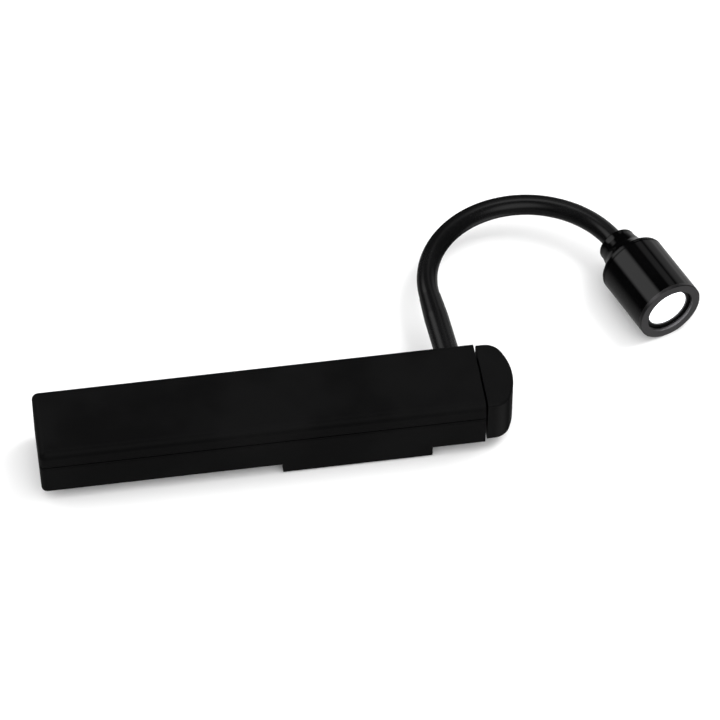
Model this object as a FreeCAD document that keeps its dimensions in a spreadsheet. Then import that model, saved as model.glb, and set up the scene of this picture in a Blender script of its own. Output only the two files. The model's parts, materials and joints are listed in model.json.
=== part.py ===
"""Clip-on reading lamp: battery case with a clip, a bending neck and a small round head.

Every size is in millimetres. X runs along the case, from its free end to the push cap. Y runs
from the front of the case to the side that the neck leaves. Z runs up from the table. The pieces
are first placed on a bench whose origin is the front left corner of the case, on the table.
The last step moves all of them together, so that the frame's origin is at the centre of the
whole lamp's footprint, on the table.
"""
import FreeCAD, Part
import Sketcher
import math
import os

DRIVING_SIZES = {
    # battery case
    "case_length": 112.0, "case_width": 21.6, "case_height": 14.6, "seam_height": 9.3,
    "wall": 1.4, "end_wall": 1.6, "floor_wall": 1.7, "seam_gap": 0.45,
    "lip_height": 1.2, "lip_inset": 0.75, "lip_clearance": 0.05,
    "top_round": 2.0, "bottom_round": 1.2, "end_round": 1.5, "seam_round": 0.3,
    "bead_round": 0.5,
    # foot under the case, two cheeks that also carry the clip
    "foot_height": 2.8, "foot_start": 60.6, "foot_end": 98.6, "cheek_width": 4.6,
    "foot_round": 0.9, "slot_rise": 0.9,
    # clip
    "clip_pin_place": 88.0, "clip_pin_height": 1.75, "clip_pin_radius": 0.75,
    "knuckle_radius": 1.6, "knuckle_width": 2.5, "arm_tip": 12.6, "arm_tail": 98.0,
    "arm_thick": 1.3, "arm_lift": 0.4, "arm_side_gap": 0.3, "pad_length": 12.0,
    "pad_start": 15.0, "pad_side": 1.2, "pad_gap": 0.05, "pin_clearance": 0.05,
    "spring_wire": 0.25, "spring_radius": 1.25, "spring_leg": 6.0,
    # cells and contacts
    "cell_length": 44.5, "cell_radius": 5.25, "cell_side_gap": 0.45, "cell_lift": 0.35,
    "nub_radius": 2.75, "nub_length": 1.0, "cell_start": 6.5, "contact_thick": 0.4,
    "contact_side": 8.0, "coil_wire": 0.35, "coil_big": 3.6, "bay_wall": 1.0,
    "cross_wall": 1.2, "fit_gap": 0.1,
    # circuit board and switch
    "board_from_end": 7.6, "board_thick": 1.0, "board_width": 9.9, "board_height": 10.9,
    "switch_side": 6.0, "switch_depth": 3.5, "plunger_radius": 1.65, "plunger_length": 1.0,
    "stem_rise": 6.8, "stem_radius": 2.0, "stem_clearance": 0.15, "button_gap": 0.05,
    "wire_radius": 0.5, "lead_radius": 0.4,
    # push cap
    "cap_length": 7.8, "cap_gap": 0.6, "cap_inset": 0.6, "cap_corner": 4.6, "cap_crown": 3.4,
    "cap_round": 0.8, "cap_wall": 2.4, "cap_depth": 4.6, "leg_width": 4.0, "leg_thick": 1.0,
    "leg_front": 11.5, "leg_low_rise": 2.1, "leg_high_drop": 3.2, "barb_height": 0.6, "barb_length": 1.1,
    # screws
    "screw_radius": 1.0, "screw_length": 10.0, "screw_head": 1.9, "screw_head_thick": 1.3,
    "post_radius": 2.1, "screw_sink": 1.5, "screw_back": 3.8, "screw_front": 4.0,
    "screw_left": 8.0, "screw_middle": 54.0, "screw_from_end": 10.8, "plunger_seat": 0.6,
    # neck
    "neck_from_end": 5.4, "neck_lean": 4.0, "neck_rise": 6.1, "neck_straight": 24.0,
    "bend_radius": 26.3, "bend_angle": 163.4, "sleeve_radius": 2.7, "core_radius": 1.2,
    "core_clearance": 0.05, "joint_clearance": 0.3, "boot_radius": 3.15, "boot_length": 16.5,
    "boot_taper": 6.9, "boot_edge": 0.08, "boot_flange": 3.55, "flange_thick": 1.2,
    "sleeve_inside": 8.0, "ferrule_wall": 0.5, "ferrule_length": 3.0,
    # head
    "barrel_radius": 8.9, "barrel_length": 19.0, "barrel_wall": 1.0, "barrel_bevel": 0.25,
    "collar_radius": 5.1, "collar_length": 8.0, "collar_round": 0.6,
    "shoulder_drop": 0.3, "flare_start": 1.6, "flare_middle": 4.8, "flare_radius": 5.8,
    "flare_round": 4.0,
    "groove_place": 0.65, "groove_width": 0.3, "groove_depth": 0.25, "spigot_length": 3.0,
    "ring_lip": 2.25, "ring_thick": 1.0, "seat_width": 1.1, "lens_sink": 1.3,
    "lens_thick": 1.4, "lens_crown": 0.4, "seat_thick": 1.6, "cone_small": 2.2,
    "cone_length": 6.0, "led_side": 3.0, "led_thick": 0.8, "led_board_thick": 1.2,
    "slug_length": 3.4, "crimp_length": 5.0,
}
SEGMENTS = 6
SPRING_TURNS = 6
BATTERY_SPRING_TURNS = 3
COIL_SEGMENT = 0.5
SHEET = "Sizes"

document = FreeCAD.newDocument("ReadingLamp")
sub_parts = []


class Size:
    """A length as the text of an expression on the sheet, with its value beside it."""

    def __init__(self, text, value):
        self.text = text
        self.value = value

    def joined(self, sign, other, value):
        return Size("(%s %s %s)" % (self.text, sign, text_of(other)), value)

    def __add__(self, other):
        return self.joined("+", other, self.value + value_of(other))

    def __sub__(self, other):
        return self.joined("-", other, self.value - value_of(other))

    def __mul__(self, other):
        return self.joined("*", other, self.value * value_of(other))

    def __truediv__(self, other):
        return self.joined("/", other, self.value / value_of(other))

    def __radd__(self, other):
        return as_size(other) + self

    def __rsub__(self, other):
        return as_size(other) - self

    def __rmul__(self, other):
        return as_size(other) * self

    def __neg__(self):
        return as_size(0) - self


def text_of(length):
    return length.text if isinstance(length, Size) else repr(float(length))


def value_of(length):
    return length.value if isinstance(length, Size) else float(length)


def as_size(length):
    return length if isinstance(length, Size) else Size(text_of(length), value_of(length))


def make_sheet():
    """The spreadsheet of driving sizes. Gives each one back as a Size."""
    sheet = document.addObject("Spreadsheet::Sheet", SHEET)
    sizes = {}
    for row, (alias, value) in enumerate(DRIVING_SIZES.items(), start=1):
        sheet.set("A%d" % row, alias)
        sheet.set("B%d" % row, str(value))
        sheet.setAlias("B%d" % row, alias)
        sizes[alias] = Size("%s.%s" % (SHEET, alias), value)
    document.recompute()
    return sizes


S = make_sheet()


# ---------------------------------------------------------------- tools for making shapes

def bind(thing, path, length):
    """Ties one property of an object to the sheet."""
    thing.setExpression(path, as_size(length).text)


def keep(thing, label):
    """Marks an object as one of the lamp's own pieces."""
    thing.Label = label
    sub_parts.append(thing)
    return thing


def new_body(label):
    return keep(document.addObject("PartDesign::Body", label), label)


def sketch_on(body, name, role, offset=0.0):
    """An empty sketch on one of the body's origin planes, moved out along the plane's normal."""
    sketch = body.newObject("Sketcher::SketchObject", name)
    plane = [item for item in body.Origin.OriginFeatures if item.Role == role][0]
    sketch.AttachmentSupport = (plane, [""])
    sketch.MapMode = "FlatFace"
    bind(sketch, "AttachmentOffset.Base.z", offset)
    return sketch


def pin_point(sketch, geometry, corner, x, y):
    """Fixes one end of a line, or a circle's centre, at a place on the sketch."""
    for kind, length in (("DistanceX", x), ("DistanceY", y)):
        number = sketch.addConstraint(
            Sketcher.Constraint(kind, -1, 1, geometry, corner, value_of(length)))
        bind(sketch, "Constraints[%d]" % number, length)


def outline(sketch, points):
    """A closed outline of straight lines through the points, each one tied to the sheet."""
    flat = [FreeCAD.Vector(value_of(x), value_of(y), 0) for x, y in points]
    count = len(flat)
    first = sketch.GeometryCount
    for i in range(count):
        sketch.addGeometry(Part.LineSegment(flat[i], flat[(i + 1) % count]), False)
    for i in range(count):
        after = first + (i + 1) % count
        sketch.addConstraint(Sketcher.Constraint("Coincident", first + i, 2, after, 1))
    for i, (x, y) in enumerate(points):
        pin_point(sketch, first + i, 1, x, y)
    return sketch


def rectangle(sketch, x, y, width, height):
    return outline(sketch, [(x, y), (x + width, y), (x + width, y + height), (x, y + height)])


def crowned_block(sketch, x, y, length, width):
    """A rectangle whose far end is one shallow arc from side to side."""
    side = x + length - S["cap_crown"]
    points = [(side, y + width), (x, y + width), (x, y), (side, y)]
    flat = [FreeCAD.Vector(value_of(a), value_of(b), 0) for a, b in points]
    for i in range(3):
        sketch.addGeometry(Part.LineSegment(flat[i], flat[i + 1]), False)
    radius = width * width / (8 * S["cap_crown"]) + S["cap_crown"] / 2
    centre = FreeCAD.Vector(value_of(x + length - radius), value_of(y + width / 2), 0)
    half = math.asin(width.value / 2 / radius.value)
    whole = Part.Circle(centre, FreeCAD.Vector(0, 0, 1), radius.value)
    arc = sketch.addGeometry(Part.ArcOfCircle(whole, -half, half), False)
    for first, second in ((0, 1), (1, 2)):
        sketch.addConstraint(Sketcher.Constraint("Coincident", first, 2, second, 1))
    sketch.addConstraint(Sketcher.Constraint("Coincident", 2, 2, arc, 1))
    sketch.addConstraint(Sketcher.Constraint("Coincident", arc, 2, 0, 1))
    for i, (a, b) in enumerate(points[:3]):
        pin_point(sketch, i, 1, a, b)
    pin_point(sketch, 2, 2, *points[3])
    size = sketch.addConstraint(Sketcher.Constraint("Radius", arc, radius.value))
    bind(sketch, "Constraints[%d]" % size, radius)
    return sketch


def circle(sketch, x, y, radius):
    centre = FreeCAD.Vector(value_of(x), value_of(y), 0)
    number = sketch.addGeometry(
        Part.Circle(centre, FreeCAD.Vector(0, 0, 1), value_of(radius)), False)
    pin_point(sketch, number, 3, x, y)
    size = sketch.addConstraint(Sketcher.Constraint("Radius", number, value_of(radius)))
    bind(sketch, "Constraints[%d]" % size, radius)
    return sketch


def pad(body, sketch, length, reverse=False):
    feature = body.newObject("PartDesign::Pad", sketch.Name + "Pad")
    feature.Profile = sketch
    bind(feature, "Length", length)
    feature.Reversed = reverse
    document.recompute()
    return feature


def pocket(body, sketch, length, reverse=False):
    """Cuts the sketch into the body, against its normal unless reversed, and checks the cut."""
    before = body.Shape.Volume
    feature = body.newObject("PartDesign::Pocket", sketch.Name + "Pocket")
    feature.Profile = sketch
    bind(feature, "Length", length)
    feature.Reversed = reverse
    document.recompute()
    if not body.Shape.Volume < before:
        raise RuntimeError("nothing was cut from " + body.Label + " by " + sketch.Name)
    return feature


def turned(label, points):
    """A piece turned about its own Z axis, from an outline of (radius, height) points."""
    body = new_body(label)
    sketch = outline(sketch_on(body, label + "Profile", "XZ_Plane"), points)
    feature = body.newObject("PartDesign::Revolution", label + "Turned")
    feature.Profile = sketch
    feature.ReferenceAxis = (sketch, ["V_Axis"])
    feature.Angle = 360.0
    document.recompute()
    return body


def round_edges(body, radius, wanted):
    """Rounds the edges for which wanted(box) is true, given each edge's bounding box."""
    names = []
    for number, edge in enumerate(body.Shape.Edges, start=1):
        if wanted(edge.BoundBox):
            names.append("Edge%d" % number)
    if not names:
        raise RuntimeError("no edge to round on " + body.Label)
    base = body.Tip
    feature = body.newObject("PartDesign::Fillet", "%sRound%d" % (body.Name, len(body.Group)))
    feature.Base = (base, names)
    bind(feature, "Radius", radius)
    document.recompute()
    return feature


def close(a, b):
    return abs(a - value_of(b)) < 1e-3


def flat_at(low, high, place):
    """True where an edge's box is flat and lies at one place along an axis."""
    return close(low, place) and close(high, place)


def primitive(kind, name, sizes, base=(0, 0, 0), turn=None):
    """A Part primitive with its sizes tied to the sheet, at a fixed or tied place."""
    thing = document.addObject(kind, name)
    for path, length in sizes.items():
        bind(thing, path, length)
    thing.Placement = FreeCAD.Placement(
        FreeCAD.Vector(*[value_of(part) for part in base]), turn or FreeCAD.Rotation())
    for axis, part in zip("xyz", base):
        bind(thing, "Placement.Base.%s" % axis, part)
    return thing


def joined(name, *pieces):
    thing = document.addObject("Part::MultiFuse", name)
    thing.Shapes = list(pieces)
    return thing


def cut_from(name, base, tool):
    thing = document.addObject("Part::Cut", name)
    thing.Base = base
    thing.Tool = tool
    return thing


AXIS_X = FreeCAD.Rotation(FreeCAD.Vector(0, 0, 1), FreeCAD.Vector(1, 0, 0))
AXIS_Y = FreeCAD.Rotation(FreeCAD.Vector(0, 0, 1), FreeCAD.Vector(0, 1, 0))
AXIS_BACK_Y = FreeCAD.Rotation(FreeCAD.Vector(0, 0, 1), FreeCAD.Vector(0, -1, 0))


# ---------------------------------------------------------------- places worked out once

case_bottom = S["foot_height"]
seam = case_bottom + S["seam_height"]
case_top = case_bottom + S["case_height"]
upper_bottom = seam + S["seam_gap"]
floor_top = case_bottom + S["floor_wall"]
inner_back = S["case_width"] - S["wall"]
inner_end = S["case_length"] - S["end_wall"]
inner_width = S["case_width"] - 2 * S["wall"]
inner_length = S["case_length"] - 2 * S["end_wall"]
cell_y = S["wall"] + S["cell_side_gap"] + S["cell_radius"]
cell_z = floor_top + S["cell_lift"] + S["cell_radius"]
cells_end = S["cell_start"] + 2 * S["cell_length"]
cell_back = cell_y + S["cell_radius"]
bay_y = cell_back + S["cell_lift"]
cross_x = cells_end + S["contact_thick"] + 2 * S["fit_gap"]
lead_slot = 2 * S["wire_radius"] + 2 * S["fit_gap"]
arm_front = S["cheek_width"] + S["arm_side_gap"]
arm_width = S["case_width"] - 2 * S["cheek_width"] - 2 * S["arm_side_gap"]
slot_roof = case_bottom + S["slot_rise"]
board_x = S["case_length"] - S["board_from_end"]
stem_z = case_bottom + S["stem_rise"]
leg_low = case_bottom + S["leg_low_rise"]
leg_high = case_top - S["leg_high_drop"]
neck_x = S["case_length"] - S["neck_from_end"]
neck_z = case_bottom + S["neck_rise"]
ring_window = S["barrel_radius"] - S["ring_lip"]
lens_radius = ring_window - S["seat_width"]
screw_y = S["case_width"] - S["screw_back"]
CASE_SCREWS = (("screw_a", S["screw_left"], screw_y), ("screw_b", S["screw_middle"], screw_y),
               ("screw_c", S["case_length"] - S["screw_from_end"], S["screw_front"]))


# ---------------------------------------------------------------- battery case

def make_lower_casing():
    """The tub of the case, with the foot's cheeks below and the cell bay inside."""
    body = new_body("lower_casing")
    shell = sketch_on(body, "LowerShell", "XY_Plane", case_bottom)
    pad(body, rectangle(shell, 0, 0, S["case_length"], S["case_width"]), S["seam_height"])
    round_edges(body, S["end_round"], lambda box: flat_at(box.XMin, box.XMax, 0)
                and box.ZLength > 1)
    round_edges(body, S["bottom_round"], lambda box: flat_at(box.ZMin, box.ZMax, case_bottom)
                and not flat_at(box.XMin, box.XMax, S["case_length"]))
    cheek_top = floor_top - case_bottom + S["foot_height"]
    for name, y in (("FrontCheek", 0), ("BackCheek", S["case_width"] - S["cheek_width"])):
        cheek = sketch_on(body, name, "XY_Plane")
        rectangle(cheek, S["foot_start"], y, S["foot_end"] - S["foot_start"], S["cheek_width"])
        pad(body, cheek, cheek_top)
    round_edges(body, S["foot_round"], lambda box: flat_at(box.ZMin, box.ZMax, 0))
    slot = sketch_on(body, "FootSlot", "XY_Plane", slot_roof)
    slot_start = S["clip_pin_place"] - 2 * S["knuckle_radius"]
    rectangle(slot, slot_start, S["cheek_width"], S["foot_end"] - slot_start,
              S["case_width"] - 2 * S["cheek_width"])
    pocket(body, slot, S["slot_rise"])
    hollow = sketch_on(body, "LowerHollow", "XY_Plane", seam)
    rectangle(hollow, S["end_wall"], S["wall"], inner_length, inner_width)
    pocket(body, hollow, S["seam_height"] - S["floor_wall"])
    round_edges(body, S["bead_round"], lambda box: flat_at(box.ZMin, box.ZMax, seam)
                and on_outside(box))
    lip = sketch_on(body, "SeamLip", "XY_Plane", seam)
    inset = S["lip_inset"]
    rectangle(lip, inset, inset, S["case_length"] - 2 * inset, S["case_width"] - 2 * inset)
    rectangle(lip, S["end_wall"], S["wall"], inner_length, inner_width)
    pad(body, lip, S["lip_height"])
    add_inner_walls(body)
    add_lower_openings(body)
    return body


def on_outside(box):
    """True for an edge that lies on the outer faces of the case, but not on its cap end."""
    front = flat_at(box.YMin, box.YMax, 0)
    back = flat_at(box.YMin, box.YMax, S["case_width"])
    left = flat_at(box.XMin, box.XMax, 0)
    corner = box.XMax < value_of(S["end_round"]) + 0.01 and box.XLength > 0.1
    return front or back or left or corner


def add_inner_walls(body):
    """The wall beside the cells, the wall that holds the plus contact, and the screw posts."""
    bay = sketch_on(body, "BayWall", "XY_Plane", floor_top)
    bay_start = S["end_wall"] + 4 * S["wire_radius"]
    rectangle(bay, bay_start, bay_y, cross_x - bay_start, S["bay_wall"])
    pad(body, bay, seam - floor_top - S["fit_gap"])
    cross = sketch_on(body, "CrossWall", "XY_Plane", floor_top)
    rectangle(cross, cross_x, S["wall"], S["cross_wall"], bay_y + S["bay_wall"] - S["wall"])
    pad(body, cross, seam - floor_top - S["fit_gap"])
    slot = sketch_on(body, "LeadSlot", "XY_Plane", floor_top + lead_slot)
    rectangle(slot, cross_x, cell_y, S["cross_wall"], lead_slot)
    pocket(body, slot, lead_slot)
    for name, x, y in CASE_SCREWS:
        post = sketch_on(body, "Lower" + name, "XY_Plane", floor_top)
        pad(body, circle(post, x, y, S["post_radius"]), seam - floor_top)
        bore = sketch_on(body, "LowerBore" + name, "XY_Plane", seam)
        circle(bore, x, y, S["screw_radius"] + S["fit_gap"])
        pocket(body, bore, S["seam_height"])
        sink = sketch_on(body, "Sink" + name, "XY_Plane", case_bottom + S["screw_sink"])
        circle(sink, x, y, S["screw_head"] + S["fit_gap"])
        pocket(body, sink, S["screw_sink"])


def add_lower_openings(body):
    """The pin's bores, the neck's notch and the openings in the wall beside the cap."""
    pin = sketch_on(body, "PinBore", "XZ_Plane", -S["case_width"])
    circle(pin, S["clip_pin_place"], S["clip_pin_height"],
           S["clip_pin_radius"] + S["pin_clearance"] / 2)
    pocket(body, pin, S["case_width"] - S["cheek_width"] / 2, reverse=True)
    hole = S["boot_radius"] + S["stem_clearance"]
    depth = S["wall"] + S["fit_gap"]
    notch = sketch_on(body, "NeckHole", "XZ_Plane", -S["case_width"])
    pocket(body, circle(notch, neck_x, neck_z, hole), depth, reverse=True)
    way = sketch_on(body, "NeckWay", "XZ_Plane", -S["case_width"])
    rectangle(way, neck_x - hole, neck_z, 2 * hole,
              seam + 2 * S["lip_height"] - neck_z)
    pocket(body, way, depth, reverse=True)
    stem = sketch_on(body, "StemHole", "YZ_Plane", S["case_length"])
    circle(stem, cell_y, stem_z, S["stem_radius"] + S["stem_clearance"])
    pocket(body, stem, S["end_wall"] + S["fit_gap"])
    cut_leg_way(body, "LowLegWay", leg_low)


def cut_leg_way(body, name, height):
    """A slot in the end wall for one of the cap's legs."""
    gap = S["stem_clearance"]
    way = sketch_on(body, name, "YZ_Plane", S["case_length"])
    rectangle(way, S["leg_front"] - gap, height - gap, S["leg_width"] + 2 * gap,
              S["leg_thick"] + 2 * gap)
    pocket(body, way, S["end_wall"] + S["fit_gap"])


def make_upper_casing():
    """The lid of the case, with a rebate that fits over the tub's lip."""
    body = new_body("upper_casing")
    shell = sketch_on(body, "UpperShell", "XY_Plane", upper_bottom)
    rectangle(shell, 0, 0, S["case_length"], S["case_width"])
    height = case_top - upper_bottom
    pad(body, shell, height)
    round_edges(body, S["end_round"], lambda box: flat_at(box.XMin, box.XMax, 0)
                and box.ZLength > 1)
    round_edges(body, S["top_round"], lambda box: flat_at(box.ZMin, box.ZMax, case_top)
                and not flat_at(box.XMin, box.XMax, S["case_length"]))
    round_edges(body, S["seam_round"], lambda box: flat_at(box.ZMin, box.ZMax, upper_bottom)
                and on_outside(box))
    hollow = sketch_on(body, "UpperHollow", "XY_Plane", upper_bottom)
    rectangle(hollow, S["end_wall"], S["wall"], inner_length, inner_width)
    pocket(body, hollow, height - S["wall"], reverse=True)
    inset = S["lip_inset"] - S["lip_clearance"]
    rebate = sketch_on(body, "Rebate", "XY_Plane", upper_bottom)
    rectangle(rebate, inset, inset, S["case_length"] - 2 * inset, S["case_width"] - 2 * inset)
    pocket(body, rebate, S["lip_height"] - S["seam_gap"] + S["fit_gap"], reverse=True)
    for name, x, y in CASE_SCREWS:
        post = sketch_on(body, "Upper" + name, "XY_Plane", upper_bottom)
        pad(body, circle(post, x, y, S["post_radius"]), height - S["wall"] / 2)
        bore = sketch_on(body, "UpperBore" + name, "XY_Plane", upper_bottom)
        circle(bore, x, y, S["screw_radius"])
        screw_end = case_bottom + S["screw_sink"] + S["screw_length"]
        pocket(body, bore, screw_end - upper_bottom + S["fit_gap"], reverse=True)
    cut_leg_way(body, "HighLegWay", leg_high)
    return body


def make_case_screws():
    """The screws that hold the lid, driven from below."""
    solids = []
    seat = case_bottom + S["screw_sink"]
    for name, x, y in CASE_SCREWS:
        shank = primitive("Part::Cylinder", "Shank" + name,
                          {"Radius": S["screw_radius"], "Height": S["screw_length"]},
                          (x, y, seat))
        head = primitive("Part::Cylinder", "Head" + name,
                         {"Radius": S["screw_head"], "Height": S["screw_head_thick"]},
                         (x, y, seat - S["screw_head_thick"]))
        drive = primitive("Part::Box", "Drive" + name,
                          {"Length": S["screw_head"], "Width": S["spring_wire"] * 2,
                           "Height": S["screw_head_thick"] / 2},
                          (x - S["screw_head"] / 2, y - S["spring_wire"],
                           seat - S["screw_head_thick"]))
        cross = primitive("Part::Box", "Cross" + name,
                          {"Length": S["spring_wire"] * 2, "Width": S["screw_head"],
                           "Height": S["screw_head_thick"] / 2},
                          (x - S["spring_wire"], y - S["screw_head"] / 2,
                           seat - S["screw_head_thick"]))
        screw = joined("Screw" + name, shank, head)
        slots = joined("Slots" + name, drive, cross)
        solids.append(cut_from("Cut" + name, screw, slots))
    group = document.addObject("Part::Compound", "casing_screws")
    group.Links = solids
    return keep(group, "casing_screws")


# ---------------------------------------------------------------- cells, contacts, circuit

def make_cells():
    for label, start in (("cell_left", S["cell_start"]),
                         ("cell_right", S["cell_start"] + S["cell_length"])):
        jacket = primitive("Part::Cylinder", label + "Jacket",
                           {"Radius": S["cell_radius"],
                            "Height": S["cell_length"] - S["nub_length"] - S["pad_gap"]},
                           (start, cell_y, cell_z), AXIS_X)
        nub = primitive("Part::Cylinder", label + "Nub",
                        {"Radius": S["nub_radius"], "Height": S["cell_length"] - S["pad_gap"]},
                        (start, cell_y, cell_z), AXIS_X)
        keep(joined(label, jacket, nub), label)


def make_contacts():
    side = S["contact_side"]
    low = floor_top + S["fit_gap"]
    height = cell_z + side / 2 - low
    front = cell_y - side / 2
    minus = primitive("Part::Box", "contact_minus",
                      {"Length": S["contact_thick"], "Width": side, "Height": height},
                      (S["end_wall"] + S["pad_gap"], front, low))
    keep(minus, "contact_minus")
    plus = primitive("Part::Box", "contact_plus",
                     {"Length": S["contact_thick"], "Width": side, "Height": height},
                     (cells_end + S["fit_gap"], front, low))
    keep(plus, "contact_plus")
    start = S["end_wall"] + S["pad_gap"] + S["contact_thick"] + S["coil_wire"]
    end = S["cell_start"] - S["coil_wire"] - S["pad_gap"]
    make_coil("battery_spring", S["coil_big"], S["coil_wire"], start, end - start,
              BATTERY_SPRING_TURNS, (cell_y, cell_z), AXIS_X)


def make_coil(label, radius, wire, start, length, turns, centre, turn, extras=()):
    """A wound spring. Its axis starts at one place along X, or along Y for the clip."""
    along_x = turn is AXIS_X
    base = (start, centre[0], centre[1]) if along_x else (centre[0], start, centre[1])
    helix = primitive("Part::Helix", label + "Path",
                      {"Radius": radius, "Height": length, "Pitch": length / turns}, base, turn)
    helix.SegmentLength = COIL_SEGMENT
    ring = document.addObject("Part::Circle", label + "Ring")
    bind(ring, "Radius", wire)
    edge_start = turn.multVec(FreeCAD.Vector(value_of(radius), 0, 0))
    forward = turn.multVec(FreeCAD.Vector(0, 1, 0))
    place = FreeCAD.Vector(*[value_of(part) for part in base]) + edge_start
    ring.Placement = FreeCAD.Placement(place, FreeCAD.Rotation(FreeCAD.Vector(0, 0, 1), forward))
    coil = document.addObject("Part::Sweep", label + "Coil" if extras else label)
    coil.Sections = [ring]
    coil.Spine = helix
    coil.Solid = True
    coil.Frenet = True
    document.recompute()
    if extras:
        coil = joined(label, coil, *extras)
    return keep(coil, label)


def make_circuit():
    """The upright board with the switch on one face and the driver on the other."""
    board_y = S["wall"] + S["cell_side_gap"]
    board_z = floor_top + 2 * S["fit_gap"]
    board = primitive("Part::Box", "circuit_board",
                      {"Length": S["board_thick"], "Width": S["board_width"],
                       "Height": S["board_height"]}, (board_x, board_y, board_z))
    keep(board, "circuit_board")
    right = board_x + S["board_thick"]
    side = S["switch_side"]
    block = primitive("Part::Box", "SwitchBlock",
                      {"Length": S["switch_depth"], "Width": side, "Height": side},
                      (right, cell_y - side / 2, stem_z - side / 2))
    seat = right + S["switch_depth"] - S["plunger_seat"]
    well = primitive("Part::Cylinder", "PlungerWell",
                     {"Radius": S["plunger_radius"] + S["pin_clearance"],
                      "Height": S["plunger_seat"]},
                     (seat, cell_y, stem_z), AXIS_X)
    keep(cut_from("switch_body", block, well), "switch_body")
    plunger = primitive("Part::Cylinder", "switch_plunger",
                        {"Radius": S["plunger_radius"], "Height": S["plunger_length"]},
                        (right + S["switch_depth"], cell_y, stem_z), AXIS_X)
    keep(plunger, "switch_plunger")
    coil_radius = S["switch_side"] / 3
    coil_depth = S["switch_side"] / 3
    inductor = primitive("Part::Cylinder", "driver_coil",
                         {"Radius": coil_radius, "Height": coil_depth},
                         (board_x - coil_depth, board_y + S["board_width"] - coil_radius
                          - S["fit_gap"], stem_z), AXIS_X)
    keep(inductor, "driver_coil")
    chip_side = S["switch_side"] / 2
    chip = primitive("Part::Box", "driver_chip",
                     {"Length": S["board_thick"], "Width": chip_side, "Height": chip_side / 2},
                     (board_x - S["board_thick"],
                      board_y + S["board_width"] - chip_side - S["fit_gap"],
                      board_z + S["board_height"] - chip_side))
    keep(chip, "driver_chip")


def make_wires():
    """The long lead behind the cells and the two short leads from the neck to the board."""
    wire = S["wire_radius"]
    height = floor_top + wire + S["fit_gap"]
    back = bay_y + S["bay_wall"] + wire + S["fit_gap"]
    left = S["end_wall"] + 2 * wire
    corner_x = board_x - wire - S["fit_gap"]
    corner_y = back
    long_run = primitive("Part::Cylinder", "LongRun",
                         {"Radius": wire, "Height": corner_x - left}, (left, back, height),
                         AXIS_X)
    turn_ball = primitive("Part::Sphere", "TurnBall", {"Radius": wire},
                          (corner_x, corner_y, height))
    short_run = primitive("Part::Cylinder", "ShortRun",
                          {"Radius": wire, "Height": back - cell_back + wire * 2},
                          (corner_x, corner_y, height), AXIS_BACK_Y)
    corner_ball = primitive("Part::Sphere", "CornerBall", {"Radius": wire},
                            (left, back, height))
    end_run = primitive("Part::Cylinder", "EndRun",
                        {"Radius": wire, "Height": back - cell_back + wire * 2},
                        (left, back, height), AXIS_BACK_Y)
    keep(joined("ground_lead", long_run, turn_ball, short_run, corner_ball, end_run),
         "ground_lead")
    plus_start = cells_end + S["fit_gap"] + S["contact_thick"] + S["pad_gap"]
    plus_lead = primitive("Part::Cylinder", "plus_lead",
                          {"Radius": wire,
                           "Height": board_x - plus_start - S["pad_gap"]},
                          (plus_start, cell_y + lead_slot / 2, height), AXIS_X)
    keep(plus_lead, "plus_lead")
    leads = []
    lead_x = board_x + S["board_thick"] + S["lead_radius"] + S["pad_gap"]
    lead_end = S["case_width"] - S["sleeve_inside"] - S["fit_gap"]
    for name, side in (("LeadLow", -1), ("LeadHigh", 1)):
        z = neck_z + side * 2 * S["lead_radius"]
        leads.append(primitive("Part::Cylinder", name,
                               {"Radius": S["lead_radius"],
                                "Height": lead_end - cell_back + 3 * S["lead_radius"]},
                               (lead_x, lead_end, z), AXIS_BACK_Y))
    group = document.addObject("Part::Compound", "board_leads")
    group.Links = leads
    keep(group, "board_leads")


# ---------------------------------------------------------------- push cap

def make_end_cap():
    """The push cap: a hollow block with a stem for the switch and two legs that hold it."""
    body = new_body("end_cap")
    front = S["cap_inset"]
    width = S["case_width"] - 2 * S["cap_inset"]
    low = case_bottom + S["cap_inset"]
    height = S["case_height"] - 2 * S["cap_inset"]
    inner = S["case_length"] + S["cap_gap"]
    outer = inner + S["cap_length"]
    block = sketch_on(body, "CapBlock", "XY_Plane", low)
    pad(body, crowned_block(block, inner, front, S["cap_length"], width), height)
    round_edges(body, S["cap_corner"], lambda box: box.ZLength > 1
                and flat_at(box.XMin, box.XMax, outer - S["cap_crown"]))
    high = low + height
    round_edges(body, S["cap_round"],
                lambda box: (flat_at(box.ZMin, box.ZMax, low) or flat_at(box.ZMin, box.ZMax, high))
                and not flat_at(box.XMin, box.XMax, inner))
    hollow = sketch_on(body, "CapHollow", "YZ_Plane", inner)
    rectangle(hollow, front + S["cap_wall"], low + S["cap_wall"] - S["cap_inset"],
              width - 2 * S["cap_wall"], height - 2 * (S["cap_wall"] - S["cap_inset"]))
    pocket(body, hollow, S["cap_depth"], reverse=True)
    root = inner + S["cap_depth"]
    stem_end = board_x + S["board_thick"] + S["switch_depth"] + S["plunger_length"] \
        + S["button_gap"]
    stem = sketch_on(body, "CapStem", "YZ_Plane", stem_end)
    pad(body, circle(stem, cell_y, stem_z, S["stem_radius"]), root - stem_end)
    barb_x = inner_end - S["fit_gap"] - S["barb_length"]
    for name, z, barb_z in (("LowLeg", leg_low, leg_low + S["leg_thick"]),
                            ("HighLeg", leg_high, leg_high - S["barb_height"])):
        leg = sketch_on(body, name, "YZ_Plane", barb_x)
        rectangle(leg, S["leg_front"], z, S["leg_width"], S["leg_thick"])
        pad(body, leg, root - barb_x)
        barb = sketch_on(body, name + "Barb", "YZ_Plane", barb_x)
        rectangle(barb, S["leg_front"], barb_z, S["leg_width"], S["barb_height"])
        pad(body, barb, S["barb_length"])
    return body


# ---------------------------------------------------------------- clip

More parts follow.
